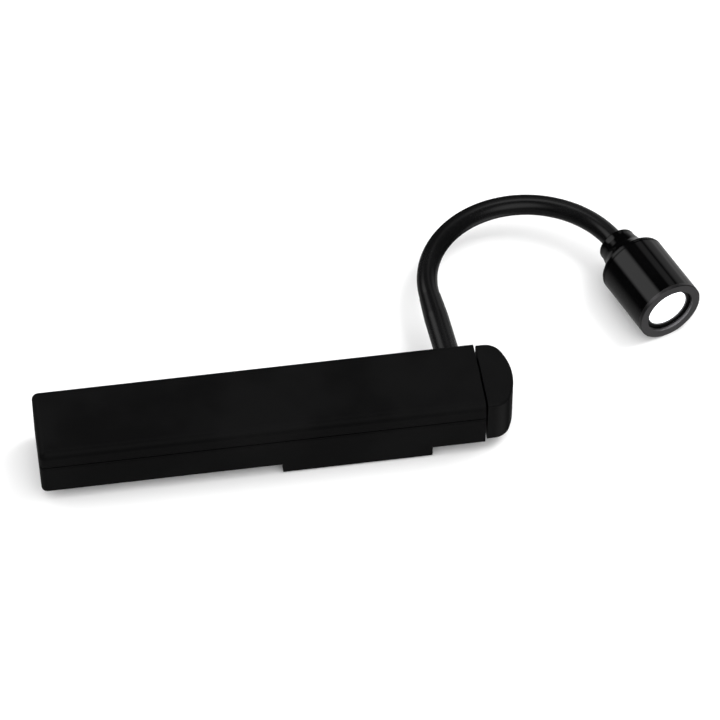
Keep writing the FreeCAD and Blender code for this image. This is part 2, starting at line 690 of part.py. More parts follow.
def make_clip():
    """The clip's long arm with its two knuckles, its pad, the pin and the wound spring."""
    body = new_body("clip_arm")
    low = S["arm_lift"]
    high = low + S["arm_thick"]
    plate = sketch_on(body, "ArmPlate", "XZ_Plane", -arm_front)
    lead = S["pad_start"] - S["arm_tip"]
    outline(plate, [(S["arm_tip"], low), (S["arm_tail"], low), (S["arm_tail"], high),
                    (S["arm_tip"] + lead, high), (S["arm_tip"], low + S["arm_thick"] / 3)])
    pad(body, plate, arm_width, reverse=True)
    round_edges(body, S["end_round"], lambda box: box.ZLength > 0.3 and box.YLength < 0.01
                and box.XLength < 0.01)
    window = sketch_on(body, "ArmWindow", "XY_Plane", high)
    half = S["spring_radius"] + S["spring_wire"] * 2
    rectangle(window, S["clip_pin_place"] - half, arm_front + S["knuckle_width"], 2 * half,
              arm_width - 2 * S["knuckle_width"])
    pocket(body, window, S["arm_thick"])
    for name, y in (("FrontKnuckle", arm_front),
                    ("BackKnuckle", arm_front + arm_width - S["knuckle_width"])):
        knuckle = sketch_on(body, name, "XZ_Plane", -y)
        circle(knuckle, S["clip_pin_place"], S["clip_pin_height"], S["knuckle_radius"])
        pad(body, knuckle, S["knuckle_width"], reverse=True)
    bore = sketch_on(body, "ArmBore", "XZ_Plane", -arm_front)
    circle(bore, S["clip_pin_place"], S["clip_pin_height"],
           S["clip_pin_radius"] + S["pin_clearance"])
    pocket(body, bore, arm_width)

    pad_height = case_bottom - high - S["pad_gap"]
    grip = primitive("Part::Box", "clip_pad",
                     {"Length": S["pad_length"], "Width": arm_width - 2 * S["pad_side"],
                      "Height": pad_height},
                     (S["pad_start"], arm_front + S["pad_side"], high))
    keep(grip, "clip_pad")

    pin_start = S["cheek_width"] / 2 + S["fit_gap"]
    pin = primitive("Part::Cylinder", "clip_pin",
                    {"Radius": S["clip_pin_radius"],
                     "Height": S["case_width"] - pin_start - S["fit_gap"]},
                    (S["clip_pin_place"], pin_start, S["clip_pin_height"]), AXIS_Y)
    keep(pin, "clip_pin")

    coil_start = arm_front + S["knuckle_width"] + 2 * S["spring_wire"]
    coil_length = arm_width - 2 * S["knuckle_width"] - 4 * S["spring_wire"]
    leg_x = S["clip_pin_place"] + S["spring_radius"]
    arm_leg_z = high + S["spring_wire"] + S["pad_gap"]
    case_leg_z = slot_roof - S["spring_wire"] - S["pad_gap"]
    leg_sizes = {"Radius": S["spring_wire"], "Height": S["spring_leg"]}
    arm_leg = primitive("Part::Cylinder", "ArmLeg", leg_sizes,
                        (leg_x, coil_start, arm_leg_z), AXIS_X)
    case_leg = primitive("Part::Cylinder", "CaseLeg", leg_sizes,
                         (leg_x, coil_start + coil_length, case_leg_z), AXIS_X)
    start_ball = primitive("Part::Sphere", "StartBall", {"Radius": S["spring_wire"]},
                           (leg_x, coil_start, S["clip_pin_height"]))
    riser_ball = primitive("Part::Sphere", "RiserBall", {"Radius": S["spring_wire"]},
                           (leg_x, coil_start + coil_length, case_leg_z))
    riser = primitive("Part::Cylinder", "Riser",
                      {"Radius": S["spring_wire"],
                       "Height": case_leg_z - S["clip_pin_height"]},
                      (leg_x, coil_start + coil_length, S["clip_pin_height"]))
    make_coil("clip_spring", S["spring_radius"], S["spring_wire"], coil_start, coil_length,
              SPRING_TURNS, (S["clip_pin_place"], S["clip_pin_height"]), AXIS_Y,
              (arm_leg, case_leg, start_ball, riser_ball, riser))


# ---------------------------------------------------------------- neck

def along_neck():
    """The neck's first direction, its bend's centre and the angle where the bend starts."""
    lean = math.radians(S["neck_lean"].value)
    forward = FreeCAD.Vector(-math.sin(lean), math.cos(lean), 0)
    inward = FreeCAD.Vector(math.cos(lean), math.sin(lean), 0)
    root = FreeCAD.Vector(neck_x.value, S["case_width"].value, neck_z.value)
    start = root + forward * S["neck_straight"].value
    centre = start + inward * S["bend_radius"].value
    return root, forward, start, centre, 180.0 + S["neck_lean"].value


def neck_point(centre, angle):
    turn = math.radians(angle)
    return centre + FreeCAD.Vector(math.cos(turn), math.sin(turn), 0) * S["bend_radius"].value


def heading(angle):
    """The way that the neck runs at one angle of its bend."""
    turn = math.radians(angle - 90.0)
    return FreeCAD.Vector(math.cos(turn), math.sin(turn), 0)


def facing(direction):
    return FreeCAD.Rotation(FreeCAD.Vector(0, 0, 1), direction)


def arc_tube(name, radius, centre, low_angle, sweep):
    """A bent tube or rod of the neck, from one angle of the bend to a higher one."""
    tube = document.addObject("Part::Torus", name)
    bind(tube, "Radius1", S["bend_radius"])
    bind(tube, "Radius2", radius)
    tube.Angle3 = sweep
    tube.Placement = FreeCAD.Placement(
        centre, FreeCAD.Rotation(FreeCAD.Vector(0, 0, 1), low_angle))
    return tube


def ball(name, radius, place, direction, half=True):
    thing = document.addObject("Part::Sphere", name)
    bind(thing, "Radius", radius)
    if half:
        thing.Angle1 = 0.0
    thing.Placement = FreeCAD.Placement(place, facing(direction))
    return thing


def rod(name, radius, length, place, direction):
    thing = document.addObject("Part::Cylinder", name)
    bind(thing, "Radius", radius)
    bind(thing, "Height", length)
    thing.Placement = FreeCAD.Placement(place, facing(direction))
    return thing


def make_neck_root():
    """The straight stretch that leaves the case: sleeve, core, boot and ferrule."""
    root, forward, start, centre, first = along_neck()
    inside = S["sleeve_inside"]
    inner_place = root - forward * inside.value
    whole = inside + S["neck_straight"]
    tube = rod("RootTube", S["sleeve_radius"], whole, inner_place, forward)
    tip = ball("RootTip", S["sleeve_radius"], start, forward)
    bore = rod("RootBore", S["core_radius"] + S["core_clearance"], whole, inner_place, forward)
    keep(cut_from("neck_sleeve_root", joined("RootSolid", tube, tip), bore), "neck_sleeve_root")
    core = rod("neck_core_root", S["core_radius"], whole - S["fit_gap"], inner_place, forward)
    keep(core, "neck_core_root")

    fit = S["sleeve_radius"] + S["core_clearance"]
    back = -(S["wall"] + S["flange_thick"] + S["joint_clearance"])
    boot = turned("neck_boot", [
        (fit, back), (S["boot_flange"], back), (S["boot_flange"], back + S["flange_thick"]),
        (S["boot_radius"], back + S["flange_thick"]), (S["boot_radius"], S["boot_length"]),
        (fit + S["boot_edge"], S["boot_length"] + S["boot_taper"]),
        (fit, S["boot_length"] + S["boot_taper"])])
    boot.Placement = FreeCAD.Placement(root, facing(forward))

    low = back - S["ferrule_length"] - S["fit_gap"] * 2
    ring = turned("neck_ferrule", [
        (fit, low), (fit + S["ferrule_wall"], low),
        (fit + S["ferrule_wall"], low + S["ferrule_length"]), (fit, low + S["ferrule_length"])])
    ring.Placement = FreeCAD.Placement(root, facing(forward))


def make_neck_segments():
    """The bend: equal stretches, each with a ball at its far end and a socket at its near end."""
    root, forward, start, centre, first = along_neck()
    sweep = S["bend_angle"].value / SEGMENTS
    ball_radius = S["sleeve_radius"]
    socket = ball_radius + S["joint_clearance"]
    core_gap = math.degrees((socket.value + S["fit_gap"].value) / S["bend_radius"].value)
    for number in range(1, SEGMENTS + 1):
        near = first - sweep * (number - 1)
        far = near - sweep
        name = "Segment%d" % number
        shape = arc_tube(name + "Tube", ball_radius, centre, far, sweep)
        if number < SEGMENTS:
            tip = ball(name + "Tip", ball_radius, neck_point(centre, far), heading(far))
            shape = joined(name + "Solid", shape, tip)
        hollow = ball(name + "Socket", socket, neck_point(centre, near), heading(near), False)
        bore = arc_tube(name + "Bore", S["core_radius"] + S["core_clearance"], centre, far, sweep)
        label = "neck_sleeve_%d" % number
        keep(cut_from(label, cut_from(name + "Cup", shape, hollow), bore), label)
        core_label = "neck_core_%d" % number
        keep(arc_tube(core_label, S["core_radius"], centre, far, sweep - core_gap), core_label)


# ---------------------------------------------------------------- head

def make_head():
    """The turned pieces of the head, each drawn from the collar's back end at height 0."""
    root, forward, start, centre, first = along_neck()
    last = first - S["bend_angle"].value
    place = FreeCAD.Placement(neck_point(centre, last), facing(heading(last)))
    barrel_back = S["collar_length"]
    front = barrel_back + S["barrel_length"]
    bore = S["core_radius"] + S["core_clearance"] * 2
    inner = S["barrel_radius"] - S["barrel_wall"]
    spigot = inner - S["fit_gap"] / 2
    spigot_end = barrel_back + S["spigot_length"]

    collar = turned("head_collar", [
        (bore, 0), (S["collar_radius"], 0), (S["collar_radius"], S["flare_start"]),
        (S["flare_radius"], S["flare_middle"]),
        (S["barrel_radius"] - S["barrel_bevel"], barrel_back - S["shoulder_drop"]),
        (S["barrel_radius"] - S["barrel_bevel"], barrel_back),
        (spigot, barrel_back), (spigot, spigot_end), (bore, spigot_end)])
    round_edges(collar, S["collar_round"], lambda box: flat_at(box.ZMin, box.ZMax, 0)
                and close(box.XMax, S["collar_radius"]))
    round_edges(collar, S["flare_round"],
                lambda box: flat_at(box.ZMin, box.ZMax, S["flare_start"])
                or flat_at(box.ZMin, box.ZMax, S["flare_middle"]))

    bevel = S["barrel_bevel"]
    step = front - S["ring_thick"]
    groove = barrel_back + S["groove_place"]
    barrel = turned("head_barrel", [
        (inner, barrel_back), (S["barrel_radius"] - bevel, barrel_back),
        (S["barrel_radius"], barrel_back + bevel), (S["barrel_radius"], groove),
        (S["barrel_radius"] - S["groove_depth"], groove),
        (S["barrel_radius"] - S["groove_depth"], groove + S["groove_width"]),
        (S["barrel_radius"], groove + S["groove_width"]), (S["barrel_radius"], step),
        (inner, step)])

    ring_back = step - S["seat_thick"]
    ring = turned("front_ring", [
        (ring_window, step), (ring_window, front),
        (S["barrel_radius"] - bevel / 2, front), (S["barrel_radius"], front - bevel / 2),
        (S["barrel_radius"], step), (spigot, step), (spigot, ring_back),
        (ring_window + S["fit_gap"] * 2, ring_back),
        (ring_window + S["fit_gap"] * 2, step)])

    lens_front = front - S["lens_sink"]
    lens_back = lens_front - S["lens_thick"]
    rim = ring_window - S["pad_gap"]
    seat_front = lens_front
    seat = turned("lens_seat", [
        (lens_radius + S["pad_gap"], ring_back), (rim, ring_back), (rim, seat_front),
        (lens_radius + S["pad_gap"], seat_front)])
    lens = turned("lens", [
        (0, lens_back), (lens_radius, lens_back), (lens_radius, lens_front
                                                        - S["lens_crown"]),
        (lens_radius * 0.6, lens_front - S["lens_crown"] / 4), (0, lens_front)])

    cone_front = ring_back - S["fit_gap"]
    cone_back = cone_front - S["cone_length"]
    skin = S["contact_thick"]
    cone = turned("reflector", [
        (S["cone_small"], cone_back), (S["cone_small"] + skin, cone_back),
        (lens_radius + skin, cone_front - skin), (inner - S["fit_gap"], cone_front - skin),
        (inner - S["fit_gap"], cone_front), (lens_radius, cone_front)])

    led_back = cone_back - S["led_thick"] - S["fit_gap"]
    board_back = led_back - S["led_board_thick"]
    led_board = turned("led_board", [
        (0, board_back), (inner - S["fit_gap"], board_back), (inner - S["fit_gap"], led_back),
        (0, led_back)])
    slug_back = board_back - S["slug_length"]
    slug = turned("heat_slug", [
        (bore, slug_back), (inner - S["fit_gap"], slug_back), (inner - S["fit_gap"], board_back),
        (bore, board_back)])
    for piece in (collar, barrel, ring, seat, lens, cone, led_board, slug):
        piece.Placement = place

    axis = heading(last)
    origin = place.Base
    chip = document.addObject("Part::Box", "led_chip")
    for path, length in (("Length", S["led_side"]), ("Width", S["led_side"]),
                         ("Height", S["led_thick"])):
        bind(chip, path, length)
    half = S["led_side"].value / 2
    chip_place = FreeCAD.Placement(FreeCAD.Vector(-half, -half, led_back.value),
                                   FreeCAD.Rotation())
    chip.Placement = place.multiply(chip_place)
    keep(chip, "led_chip")

    crimp_start = S["collar_length"] / 2
    crimp = rod("neck_crimp", S["core_radius"], S["crimp_length"],
                origin + axis * crimp_start.value, axis)
    keep(crimp, "neck_crimp")
    lead_start = crimp_start + S["crimp_length"] + S["fit_gap"]
    leads = []
    across = place.Rotation.multVec(FreeCAD.Vector(0, 1, 0))
    for name, side in (("HeadLeadLow", -1), ("HeadLeadHigh", 1)):
        shift = across * (side * 1.5 * S["lead_radius"].value)
        leads.append(rod(name, S["lead_radius"], board_back - lead_start - S["fit_gap"],
                         origin + axis * lead_start.value + shift, axis))
    group = document.addObject("Part::Compound", "head_leads")
    group.Links = leads
    keep(group, "head_leads")


# ---------------------------------------------------------------- build, check and write

def move_to_frame():
    """Moves every piece so that the origin is at the footprint's centre, on the table."""
    box = FreeCAD.BoundBox()
    for thing in sub_parts:
        box.add(thing.Shape.optimalBoundingBox())
    shift = FreeCAD.Vector(-box.Center.x, -box.Center.y, 0)
    print("frame origin on the bench:", round(box.Center.x, 3), round(box.Center.y, 3))
    return shift


def write_parts(shift):
    os.makedirs("parts", exist_ok=True)
    for thing in sub_parts:
        shape = thing.Shape.copy()
        shape.translate(shift)
        shape.exportStep("parts/%s.step" % thing.Label)


def check_all():
    """Stops if any object failed or any piece is empty or broken."""
    for thing in document.Objects:
        if "Invalid" in thing.State or "Error" in thing.State:
            raise RuntimeError("failed: %s %s" % (thing.Name, thing.State))
    for thing in sub_parts:
        shape = thing.Shape
        if shape.isNull() or not shape.isValid() or shape.Volume <= 0:
            raise RuntimeError("bad shape: " + thing.Label)
        print("%-18s solids %d  volume %9.2f" % (thing.Label, len(shape.Solids), shape.Volume))


make_lower_casing()
make_upper_casing()
make_case_screws()
make_cells()
make_contacts()
make_circuit()
make_wires()
make_end_cap()
make_clip()
make_neck_root()
make_neck_segments()
make_head()
document.recompute()
check_all()
write_parts(move_to_frame())
print(len(sub_parts), "pieces")
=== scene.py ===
# %% [markdown]
# # A clip-on reading lamp
#
# This is a small battery lamp: a flat black case with a clip below it, a rubber neck that bends,
# and a glossy round head. The CAD model already holds every part at its real size, so this
# lesson loads it as a fixed frame and gives each part its finish. Only the parts that bend, or
# that CAD can't show well, are made again here: the neck's rubber sleeve, the ribbed pad of the
# clip, and the clip's wound spring.

# %% Load the frame
import json
import math
import bmesh
import bpy
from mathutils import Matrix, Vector


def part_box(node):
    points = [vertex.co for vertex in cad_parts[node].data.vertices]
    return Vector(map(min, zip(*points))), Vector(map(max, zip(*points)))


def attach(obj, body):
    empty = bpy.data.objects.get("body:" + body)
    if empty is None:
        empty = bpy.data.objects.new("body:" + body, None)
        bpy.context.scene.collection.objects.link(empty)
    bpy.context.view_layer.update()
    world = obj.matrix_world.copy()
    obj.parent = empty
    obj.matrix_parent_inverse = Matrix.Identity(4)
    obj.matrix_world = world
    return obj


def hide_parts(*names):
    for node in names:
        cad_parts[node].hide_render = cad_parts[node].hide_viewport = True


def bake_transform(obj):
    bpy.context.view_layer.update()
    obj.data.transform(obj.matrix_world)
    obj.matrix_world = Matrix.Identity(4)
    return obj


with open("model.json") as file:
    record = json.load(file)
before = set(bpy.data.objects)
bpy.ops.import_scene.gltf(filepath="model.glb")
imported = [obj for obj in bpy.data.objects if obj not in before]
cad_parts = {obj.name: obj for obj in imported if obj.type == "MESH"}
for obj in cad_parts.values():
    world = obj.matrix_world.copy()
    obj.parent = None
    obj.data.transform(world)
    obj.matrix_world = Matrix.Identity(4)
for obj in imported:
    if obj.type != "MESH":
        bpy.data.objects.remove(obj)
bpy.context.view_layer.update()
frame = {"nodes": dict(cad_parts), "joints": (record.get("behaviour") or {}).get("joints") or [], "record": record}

nodes = frame["nodes"]
scene = bpy.context.scene
MM = 0.001

# %% [markdown]
# ## The camera
#
# The lamp is seen from high up in front, a little from the left, with a long lens. A long lens
# from a metre away keeps parallel edges nearly parallel, as in a product picture.

# %% Camera
TARGET = Vector((-4.483, -23.188, 22.85)) * MM
CAMERA_TURN = math.radians(-8.34)
CAMERA_RISE = math.radians(49.6)
CAMERA_DISTANCE = 1.0498

away = Vector((math.sin(CAMERA_TURN) * math.cos(CAMERA_RISE),
               -math.cos(CAMERA_TURN) * math.cos(CAMERA_RISE),
               math.sin(CAMERA_RISE)))
camera = bpy.data.objects.new("camera", bpy.data.cameras.new("camera"))
camera.location = TARGET + away * CAMERA_DISTANCE
camera.rotation_euler = away.to_track_quat("Z", "Y").to_euler()
camera.data.sensor_width = 36.0
camera.data.lens = 210.0
camera.data.clip_start = 0.01
scene.collection.objects.link(camera)
scene.camera = camera
print("camera at", [round(c, 3) for c in camera.location])

# %% [markdown]
# ## Writing node trees as sums
#
# A finish is a formula over the surface: some noise, scaled, added to a base roughness. Node by
# node that is hard to read, so a socket is wrapped in a small class whose plus and times add the
# Math nodes. The same class serves shader trees and geometry trees, because both have Math nodes.

# %% A socket with arithmetic
class Value:
    """One output socket. Arithmetic on it adds Math nodes to its tree."""

    def __init__(self, tree, socket):
        self.tree = tree
        self.socket = socket

    def math(self, operation, *others, first=None):
        terms = [self if first is None else first, *others]
        return self.tree.node("ShaderNodeMath", {"operation": operation},
                              dict(enumerate(terms)))

    def __add__(self, other):
        return self.math("ADD", other)

    def __sub__(self, other):
        return self.math("SUBTRACT", other)

    def __rsub__(self, other):
        return self.math("SUBTRACT", self, first=other)

    def __mul__(self, other):
        return self.math("MULTIPLY", other)

    def __truediv__(self, other):
        return self.math("DIVIDE", other)

    __radd__ = __add__
    __rmul__ = __mul__


class Tree:
    """Any node tree. node() adds one node: its settings come first, then its sockets."""

    def __init__(self, tree):
        self.tree = tree

    def node(self, kind, settings=None, sockets=None, out=0):
        made = self.tree.nodes.new(kind)
        for name, value in (settings or {}).items():
            setattr(made, name, value)
        for name, value in (sockets or {}).items():
            self.feed(made.inputs[name], value)
        return Value(self, made.outputs[out]) if made.outputs else made

    def feed(self, socket, value):
        if isinstance(value, Value):
            self.tree.links.new(value.socket, socket)
        else:
            socket.default_value = value

    def vector(self, operation, a, b, out=0):
        return self.node("ShaderNodeVectorMath", {"operation": operation}, {0: a, 1: b}, out)

    def smooth(self, value, low, high, from_value, to_value):
        return self.node("ShaderNodeMapRange", {"interpolation_type": "SMOOTHSTEP"},
                         {"Value": value, "From Min": low, "From Max": high,
                          "To Min": from_value, "To Max": to_value})


# %% [markdown]
# ## Finishes
#
# Every finish shares one recipe. Its base colour drifts a little between two tones, its roughness
# changes with a slow smudge, and a fine bump stands for the grain of the mould, the brush or the
# cast. The scales are real: smudges are centimetres wide, and grain is a fraction of a millimetre.

# %% One recipe for the finishes
OBJECT_PLACE = 3  # the texture coordinate node's fourth output, called Object


def noise(tree, place, per_metre, detail=3.0, stretch=None):
    if stretch is not None:
        place = tree.vector("MULTIPLY", place, stretch)
    return tree.node("ShaderNodeTexNoise", {"noise_dimensions": "3D"},
                     {"Vector": place, "Scale": per_metre, "Detail": detail})


def mix_colour(tree, share, dark, light):
    return tree.node("ShaderNodeMix", {"data_type": "RGBA"},
                     {0: share, 6: dark, 7: light}, out=2)


def new_material(name):
    material = bpy.data.materials.new(name)
    material.use_nodes = True
    return material


def opened(material):
    """A material's tree, its shader, and the place of a point on the piece itself."""
    tree = Tree(material.node_tree)
    place = tree.node("ShaderNodeTexCoord", out=OBJECT_PLACE)
    return tree, material.node_tree.nodes["Principled BSDF"], place


def finish_of(name, dark, light, rough, rough_drift, grain_per_metre, grain_height,
              metallic=0.0, specular=0.5, stretch=None, smudge_per_metre=60.0):
    """A material whose colour and roughness drift, with a fine grain in its normal."""
    material = new_material(name)
    tree, shader, place = opened(material)
    smudge = noise(tree, place, smudge_per_metre)
    drift = tree.smooth(smudge, 0.35, 0.65, 0.0, 1.0)
    grain = noise(tree, place, grain_per_metre, detail=2.0, stretch=stretch)
    bump = tree.node("ShaderNodeBump", sockets={"Strength": 1.0, "Distance": grain_height,
                                                "Height": grain})
    tree.feed(shader.inputs["Base Color"], mix_colour(tree, drift, (*dark, 1), (*light, 1)))
    tree.feed(shader.inputs["Roughness"], rough + rough_drift * drift + (grain - 0.5) * 0.1)
    tree.feed(shader.inputs["Normal"], bump)
    shader.inputs["Metallic"].default_value = metallic
    shader.inputs["Specular IOR Level"].default_value = specular
    return material


# %% [markdown]
# ## The case and the neck
#
# The case and the cap are moulded in black plastic with a soft, fine texture that swallows
# nearly all light. The neck is black rubber, smoother, so it carries a soft line of light.

# %% Plastic and rubber
case_plastic = finish_of("case_plastic", (0.0015, 0.0015, 0.0016), (0.0033, 0.0033, 0.0034),
                         0.5, 0.08, 5200.0, 0.000012, specular=0.15, smudge_per_metre=45.0)
cap_plastic = finish_of("cap_plastic", (0.0026, 0.0026, 0.0027), (0.0036, 0.0036, 0.0037),
                        0.42, 0.06, 4600.0, 0.000008, specular=0.15)
neck_rubber = finish_of("neck_rubber", (0.0026, 0.0026, 0.0028), (0.0038, 0.0038, 0.0040),
                        0.23, 0.05, 2600.0, 0.000003, specular=0.5)
pad_rubber = finish_of("pad_rubber", (0.012, 0.012, 0.012), (0.02, 0.02, 0.02),
                       0.7, 0.1, 3000.0, 0.00002)
print("plastic and rubber finishes made")

# %% [markdown]
# ## The head
#
# The head is turned metal under a deep black gloss, so what shows is mostly reflection. The lip
# round the lens is dark satin metal, turned on a lathe: its grain runs round the head's axis.

# %% Gloss, satin metal and bright metal
head_enamel = finish_of("head_enamel", (0.0006, 0.0006, 0.0007), (0.0012, 0.0012, 0.0013),
                        0.045, 0.03, 900.0, 0.0000004, specular=0.5)
lip_satin = finish_of("lip_satin", (0.115, 0.112, 0.115), (0.15, 0.147, 0.15),
                      0.36, 0.08, 5200.0, 0.000002, metallic=1.0)
heat_aluminium = finish_of("heat_aluminium", (0.55, 0.55, 0.56), (0.62, 0.62, 0.62),
                           0.32, 0.08, 4000.0, 0.000004, metallic=1.0,
                           stretch=(0.15, 1.0, 1.0))
reflector_bright = finish_of("reflector_bright", (0.82, 0.82, 0.84), (0.88, 0.88, 0.88),
                             0.06, 0.03, 900.0, 0.000001, metallic=1.0)
spring_steel = finish_of("spring_steel", (0.34, 0.34, 0.35), (0.46, 0.46, 0.46),
                         0.28, 0.1, 6000.0, 0.000003, metallic=1.0, stretch=(1.0, 0.1, 1.0))
screw_steel = finish_of("screw_steel", (0.06, 0.06, 0.065), (0.11, 0.11, 0.115),
                        0.35, 0.1, 4000.0, 0.000004, metallic=1.0)
contact_plate = finish_of("contact_plate", (0.58, 0.56, 0.5), (0.7, 0.68, 0.62),
                          0.22, 0.1, 3000.0, 0.000003, metallic=1.0)
core_wire = finish_of("core_wire", (0.5, 0.5, 0.5), (0.6, 0.6, 0.6),
                      0.35, 0.1, 5000.0, 0.000004, metallic=1.0)
print("metal finishes made")

# %% [markdown]
# ## The inside
#
# The cells, the circuit and the wires are hidden until the lid comes off, but each still gets its
# own finish. The cell's jacket has a broad band at one end, worked out from its place along X.

# %% Electrical finishes
board_laminate = finish_of("board_laminate", (0.012, 0.09, 0.035), (0.02, 0.13, 0.05),
                           0.35, 0.1, 2500.0, 0.00001)
part_black = finish_of("part_black", (0.004, 0.004, 0.004), (0.008, 0.008, 0.008),
                       0.4, 0.1, 4000.0, 0.000006)
plunger_plastic = finish_of("plunger_plastic", (0.4, 0.03, 0.025), (0.5, 0.05, 0.04),
                            0.3, 0.1, 3000.0, 0.000005)
lead_black = finish_of("lead_black", (0.01, 0.01, 0.01), (0.018, 0.018, 0.018),
                       0.35, 0.1, 2500.0, 0.000006)
lead_red = finish_of("lead_red", (0.38, 0.02, 0.015), (0.48, 0.035, 0.025),
                     0.35, 0.1, 2500.0, 0.000006)
led_phosphor = finish_of("led_phosphor", (0.85, 0.7, 0.18), (0.95, 0.82, 0.28),
                         0.5, 0.1, 3000.0, 0.00001)


BAND_FROM, BAND_FULL = 0.69, 0.7  # shares of the cell's length
NUB_LENGTH = 1.06 * MM
NUB_EDGE = 0.02 * MM


def cell_finish(name, near, far):
    """A jacket with its plus end in another colour, and the bare metal of the nub."""
    material = finish_of(name, (0.012, 0.012, 0.014), (0.018, 0.018, 0.02),
                         0.25, 0.1, 1500.0, 0.000004)
    tree, shader, place = opened(material)
    along = tree.node("ShaderNodeSeparateXYZ", sockets={0: place})
    length = far - near
    band = tree.smooth(along, near + length * BAND_FROM, near + length * BAND_FULL, 0.0, 1.0)
    jacket = mix_colour(tree, band, (0.015, 0.015, 0.017, 1), (0.55, 0.33, 0.1, 1))
    nub = tree.smooth(along, far - NUB_LENGTH, far - NUB_LENGTH + NUB_EDGE, 0.0, 1.0)
    tree.feed(shader.inputs["Base Color"], mix_colour(tree, nub, jacket, (0.6, 0.6, 0.6, 1)))
    tree.feed(shader.inputs["Metallic"], nub)
    return material


cells = {}
for name in ("cell_left", "cell_right"):
    low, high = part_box(name)
    cells[name] = cell_finish(name + "_jacket", low.x, high.x)
print("electrical finishes made")

# %% [markdown]
# ## The lens
#
# The lens is clear, with the LED shining behind it, so it looks white from every side. Its glow
# is strongest in the middle and falls off in faint rings, because the bowl behind it is turned.
# The rings are a function of the distance from the head's axis, so they sit on the piece itself.

# %% The head's axis
LEAN = math.radians(4.0)
STRAIGHT = 24.0 * MM
BEND_RADIUS = 26.3 * MM
BEND = math.radians(163.4)
SEGMENTS = 6
NECK_RADIUS = 2.69 * MM  # a hair under the CAD sleeve's 2.7, so the skin stays inside its box
forward = Vector((-math.sin(LEAN), math.cos(LEAN), 0.0))
inward = Vector((math.cos(LEAN), math.sin(LEAN), 0.0))


def joint_place(number):
    """The frame's own pivot of one of the neck's joints, counted from the case."""
    hinges = [j for j in frame["joints"] if j["name"].startswith("neck_")]
    return Vector(hinges[number]["pos_m"])


ROOT = joint_place(0) - forward * STRAIGHT


def neck_place(length):
    """A point on the neck's centre line, and the way it runs there."""
    straight = min(length, STRAIGHT)
    turn = max(length - STRAIGHT, 0.0) / BEND_RADIUS
    place = ROOT + forward * (straight + BEND_RADIUS * math.sin(turn))
    place += inward * (BEND_RADIUS * (1.0 - math.cos(turn)))
    return place, forward * math.cos(turn) + inward * math.sin(turn)


NECK_END = STRAIGHT + BEND_RADIUS * BEND
head_back, head_way = neck_place(NECK_END)
print("head starts at", [round(c / MM, 2) for c in head_back], "mm")


# %% Rings round the head's axis
LENS_RING_SPACING = 0.55 * MM
LATHE_SPACING = 0.12 * MM
LENS_CENTRE, LENS_EDGE = 1.5 * MM, 5.3 * MM


def off_axis(tree, place):
    """How far a point is from the head's axis, in metres."""
    arm = tree.vector("SUBTRACT", place, head_back)
    across = tree.vector("CROSS_PRODUCT", arm, head_way)
    return tree.node("ShaderNodeVectorMath", {"operation": "LENGTH"}, {0: across}, out=1)


def make_lens_finish():
    material = new_material("lens_acrylic")
    tree, shader, place = opened(material)
    distance = off_axis(tree, place)
    rings = (distance * (2 * math.pi / LENS_RING_SPACING)).math("SINE")
    glow = tree.smooth(distance, LENS_CENTRE, LENS_EDGE, 1.0, 0.86) + rings * 0.02
    shine = mix_colour(tree, glow, (0.75, 0.8, 0.9, 1), (1.0, 1.0, 1.0, 1))
    speck = noise(tree, place, 2500.0)
    tree.feed(shader.inputs["Base Color"],
              mix_colour(tree, speck, (0.8, 0.82, 0.85, 1), (0.9, 0.91, 0.93, 1)))
    tree.feed(shader.inputs["Emission Color"], shine)
    tree.feed(shader.inputs["Roughness"], 0.05 + 0.05 * speck)
    shader.inputs["Emission Strength"].default_value = 1.25
    shader.inputs["IOR"].default_value = 1.49
    return material


lens_acrylic = make_lens_finish()


def turned_lines(material, depth):
    """Adds the lathe's fine rings to a finish, as a bump round the head's axis."""
    tree, shader, place = opened(material)
    distance = off_axis(tree, place)
    rings = (distance * (2 * math.pi / LATHE_SPACING)).math("SINE")
    below = shader.inputs["Normal"].links[0].from_socket
    bump = tree.node("ShaderNodeBump", sockets={"Strength": 1.0, "Distance": depth,
                                                "Height": rings})
    material.node_tree.links.new(below, bump.socket.node.inputs["Normal"])
    tree.feed(shader.inputs["Normal"], bump)


turned_lines(lip_satin, 0.0000016)
print("lens and lathe rings made")

# %% [markdown]
# ## Giving the CAD pieces their finishes
#
# The record already names a material slot for each piece, so each CAD mesh gets the finish of
# its slot. The meshes themselves are never touched.

# %% Finishes by slot
finishes = {
    "case_plastic": case_plastic, "cap_plastic": cap_plastic, "neck_rubber": neck_rubber,
    "core_wire": core_wire, "screw_steel": screw_steel, "spring_steel": spring_steel,
    "contact_plate": contact_plate, "board_laminate": board_laminate,
    "part_black": part_black, "plunger_plastic": plunger_plastic, "lead_black": lead_black,
    "lead_red": lead_red, "pad_rubber": pad_rubber, "head_enamel": head_enamel,
    "lip_satin": lip_satin, "lens_acrylic": lens_acrylic,
    "reflector_bright": reflector_bright, "heat_aluminium": heat_aluminium,
    "led_phosphor": led_phosphor,
}
for part in frame["record"]["subparts"]:
    name, slot = part["node"], part["material_slot"]
    nodes[name].data.materials.clear()
    nodes[name].data.materials.append(cells[name] if name in cells else finishes[slot])

# %% [markdown]
# ## The neck's sleeve
#
# The real sleeve is one piece of rubber, but it has to bend at each of the six joints. It is
# therefore made as six lengths that meet half-way between joints, each with one joint inside
# it. All of them follow the same rule: straight out of the case, then round an arc. Geometry
# Nodes lay points along that rule and sweep a circle through them, so each length only needs
# where it starts and where it ends.

# %% A tree for one length of sleeve
def scaled(tree, vector, number):
    return tree.node("ShaderNodeVectorMath", {"operation": "SCALE"},
                     {"Vector": vector, "Scale": number})


